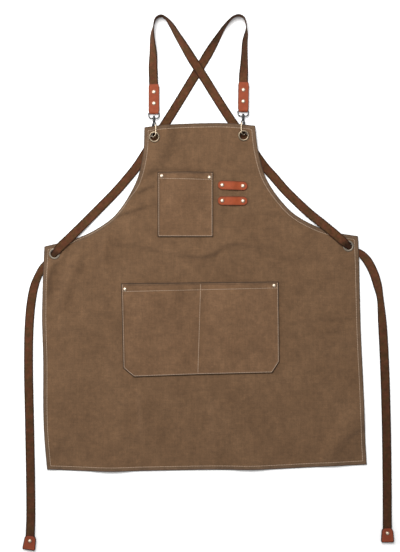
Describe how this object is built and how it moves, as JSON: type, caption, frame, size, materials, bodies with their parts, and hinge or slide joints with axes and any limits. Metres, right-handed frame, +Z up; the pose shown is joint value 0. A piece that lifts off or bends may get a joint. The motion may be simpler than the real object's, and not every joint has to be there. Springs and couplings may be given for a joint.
{
  "type": "cross-back canvas work apron",
  "caption": "Brown canvas work apron with cross-back webbing straps, snap hooks, grommets, patch pockets and leather tool loops, lying flat.",
  "frame": {"origin": "middle of the lying apron's box, on the table that it lies on", "axes": "+X to the right of the picture, +Y from the hem towards the bib and the strap tops, +Z up from the table, out of the apron's front"},
  "size_m": [0.8169, 1.177, 0.0201],
  "materials": {
    "canvas": "heavy brown cotton canvas with pale tan stitching",
    "webbing": "dark brown cotton webbing",
    "leather": "reddish tan leather with burnished edges",
    "nickel": "bright nickel plate",
    "brass": "antique brass",
    "rivet": "polished pale nickel brass"
  },
  "bodies": {
    "apron": {"apron_panel": "canvas", "chest_pocket": "canvas", "lower_pocket": "canvas", "tool_loop_upper": "leather", "tool_loop_lower": "leather", "strap_left_front": "webbing", "strap_left_back": "webbing", "strap_left_side": "webbing", "strap_left_tie": "webbing", "strap_right_front": "webbing", "strap_right_back": "webbing", "strap_right_side": "webbing", "strap_right_tie": "webbing", "leather_tab_left": "leather", "leather_tab_right": "leather", "leather_tip_left": "leather", "leather_tip_right": "leather", "hook_ring_left": "nickel", "hook_ring_right": "nickel", "hook_body_left": "nickel", "hook_body_right": "nickel", "grommet_bib_left": "brass", "grommet_bib_right": "brass", "grommet_side_left": "brass", "grommet_side_right": "brass", "rivet_chest_pocket_left": "rivet", "rivet_chest_pocket_right": "rivet", "rivet_lower_pocket_left": "rivet", "rivet_lower_pocket_right": "rivet", "rivet_tool_loop_upper_left": "rivet", "rivet_tool_loop_upper_right": "rivet", "rivet_tool_loop_lower_left": "rivet", "rivet_tool_loop_lower_right": "rivet", "rivet_leather_tab_left_lower": "rivet", "rivet_leather_tab_left_upper": "rivet", "rivet_leather_tab_right_lower": "rivet", "rivet_leather_tab_right_upper": "rivet", "rivet_leather_tip_left": "rivet", "rivet_leather_tip_right": "rivet"},
    "gate_left": {"hook_gate_left": "nickel"},
    "gate_right": {"hook_gate_right": "nickel"}
  },
  "joints": [
    {"name": "gate_left_hinge", "type": "hinge", "parent": "apron", "child": "gate_left", "pos_m": [-0.12131, 0.34387, 0.00467], "axis": [-0.766, 0.0635, 0.6397], "range_deg": [0, 16], "stiffness_Nm_per_rad": 0.02},
    {"name": "gate_right_hinge", "type": "hinge", "parent": "apron", "child": "gate_right", "pos_m": [0.07931, 0.34857, 0.00467], "axis": [-0.766, -0.0635, -0.6397], "range_deg": [0, 16], "stiffness_Nm_per_rad": 0.02}
  ]
}
